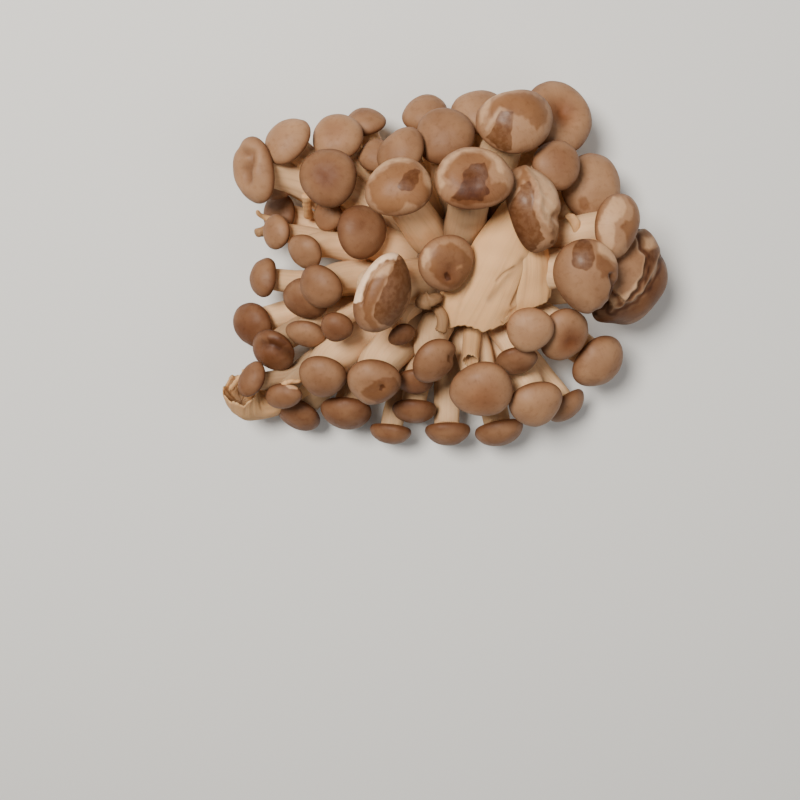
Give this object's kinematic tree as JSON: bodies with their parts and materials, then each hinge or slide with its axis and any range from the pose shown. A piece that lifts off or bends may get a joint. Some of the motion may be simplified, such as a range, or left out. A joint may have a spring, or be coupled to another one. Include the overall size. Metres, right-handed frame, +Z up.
{
  "type": "beech mushroom cluster",
  "caption": "Cluster of young beech mushrooms: small domed brown caps on cream stems that fan out from one trimmed base, with a broad torn stem among them.",
  "frame": {"origin": "under the middle of the cluster's overall box, at the height of the flat cut of its base", "axes": "+Z up, out of the cut base towards the caps; +X towards the large frilled cap, the long way of the cluster; +Y towards the back row of large caps"},
  "size_m": [0.1222, 0.1016, 0.0511],
  "materials": {
    "cap_skin": "smooth satin skin, damp and glossy in places",
    "stem_flesh": "matt cream flesh with fine fibres"
  },
  "bodies": {
    "root": {"base_stems_and_gills": "stem_flesh", "cap_far_left_1": "cap_skin", "cap_far_left_2": "cap_skin", "cap_far_left_3": "cap_skin", "cap_far_left_4": "cap_skin", "cap_far_left_5": "cap_skin", "cap_far_left_6": "cap_skin", "cap_back_left_1": "cap_skin", "cap_back_left_2": "cap_skin", "cap_back_left_3": "cap_skin", "cap_back_left_4": "cap_skin", "cap_back_left_5": "cap_skin", "cap_back_left_6": "cap_skin", "cap_back_1": "cap_skin", "cap_back_2": "cap_skin", "cap_back_3": "cap_skin", "cap_back_4": "cap_skin", "cap_back_5": "cap_skin", "cap_back_6": "cap_skin", "cap_back_7": "cap_skin", "cap_right_1": "cap_skin", "cap_right_2": "cap_skin", "cap_right_3": "cap_skin", "cap_right_4": "cap_skin", "cap_right_5": "cap_skin", "cap_right_6": "cap_skin", "cap_right_7": "cap_skin", "cap_right_8": "cap_skin", "cap_front_1": "cap_skin", "cap_front_2": "cap_skin", "cap_front_3": "cap_skin", "cap_front_4": "cap_skin", "cap_front_5": "cap_skin", "cap_front_6": "cap_skin", "cap_front_7": "cap_skin", "cap_front_8": "cap_skin", "cap_front_9": "cap_skin", "cap_front_10": "cap_skin", "cap_front_11": "cap_skin", "cap_front_12": "cap_skin", "cap_front_13": "cap_skin", "cap_front_14": "cap_skin", "cap_middle_1": "cap_skin", "cap_middle_2": "cap_skin", "cap_middle_3": "cap_skin", "cap_left_1": "cap_skin", "cap_left_2": "cap_skin", "cap_left_3": "cap_skin", "cap_left_4": "cap_skin", "cap_left_5": "cap_skin", "cap_left_6": "cap_skin", "cap_left_7": "cap_skin", "cap_left_8": "cap_skin", "cap_left_9": "cap_skin", "cap_left_10": "cap_skin", "cap_on_torn_stem": "cap_skin"}
  },
  "joints": []
}
